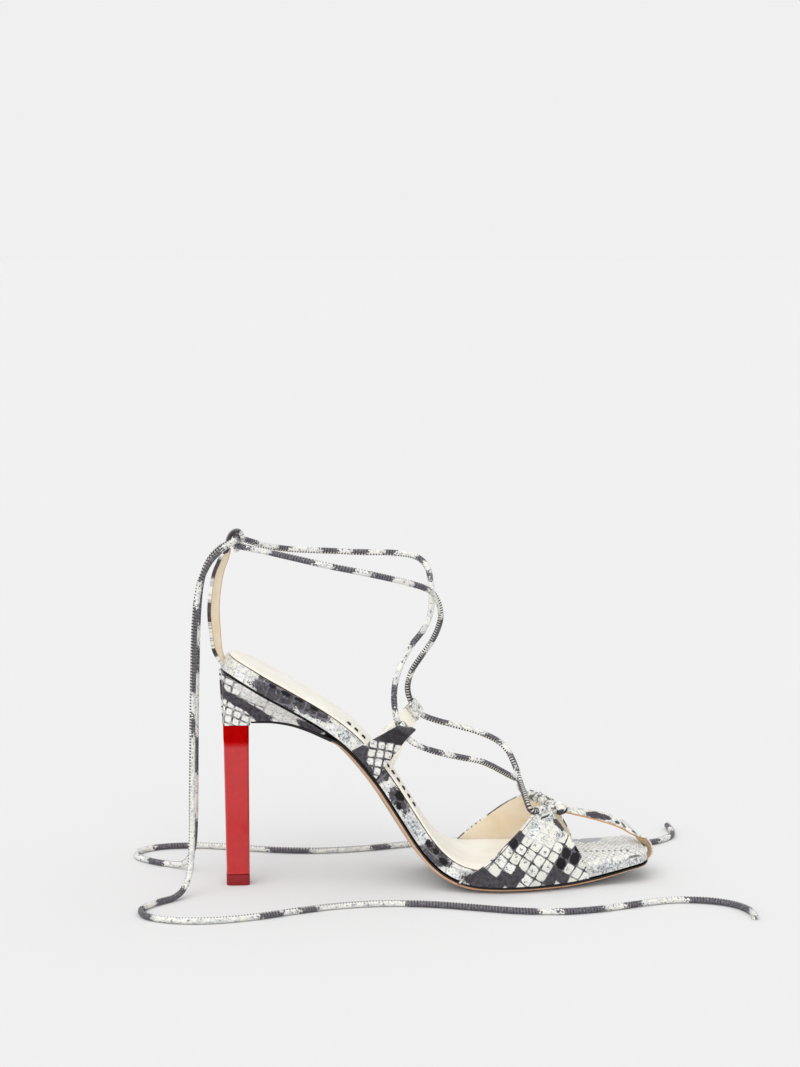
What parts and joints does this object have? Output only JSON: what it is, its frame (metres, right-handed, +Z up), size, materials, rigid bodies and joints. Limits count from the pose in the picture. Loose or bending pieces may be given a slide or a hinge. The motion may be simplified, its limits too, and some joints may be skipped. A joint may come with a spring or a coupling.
{
  "type": "lace-up sandal",
  "caption": "Open high-heeled lace-up sandal with a square toe, wrapped vamp, toe strap, heel strap and long leather ties, standing on a slim rectangular heel.",
  "frame": {"origin": "on the floor under the middle of the shoe's bounding box, without its two free ties", "axes": "+X from the heel to the toe, +Y to the medial side, +Z up from the floor"},
  "size_m": [0.289, 0.2078, 0.1737],
  "materials": {
    "print_leather": "satin snake-print leather, white scales with charcoal patches",
    "sock_leather": "smooth matt cream leather",
    "sole_leather": "tan leather with a black painted edge",
    "heel_lacquer": "glossy red lacquer",
    "tip_rubber": "matt red rubber",
    "lace_leather": "rolled snake-print leather cord with a whipped edge"
  },
  "bodies": {
    "root": {"footbed": "print_leather", "sock_lining": "sock_leather", "sock_toe": "print_leather", "outsole": "sole_leather", "heel_cup": "print_leather", "heel_post": "heel_lacquer", "heel_tip": "tip_rubber", "vamp": "print_leather", "instep_tab_lateral": "print_leather", "instep_tab_medial": "print_leather", "heel_strap": "print_leather", "lace": "lace_leather", "tie_lateral": "lace_leather", "tie_medial": "lace_leather"}
  },
  "joints": []
}
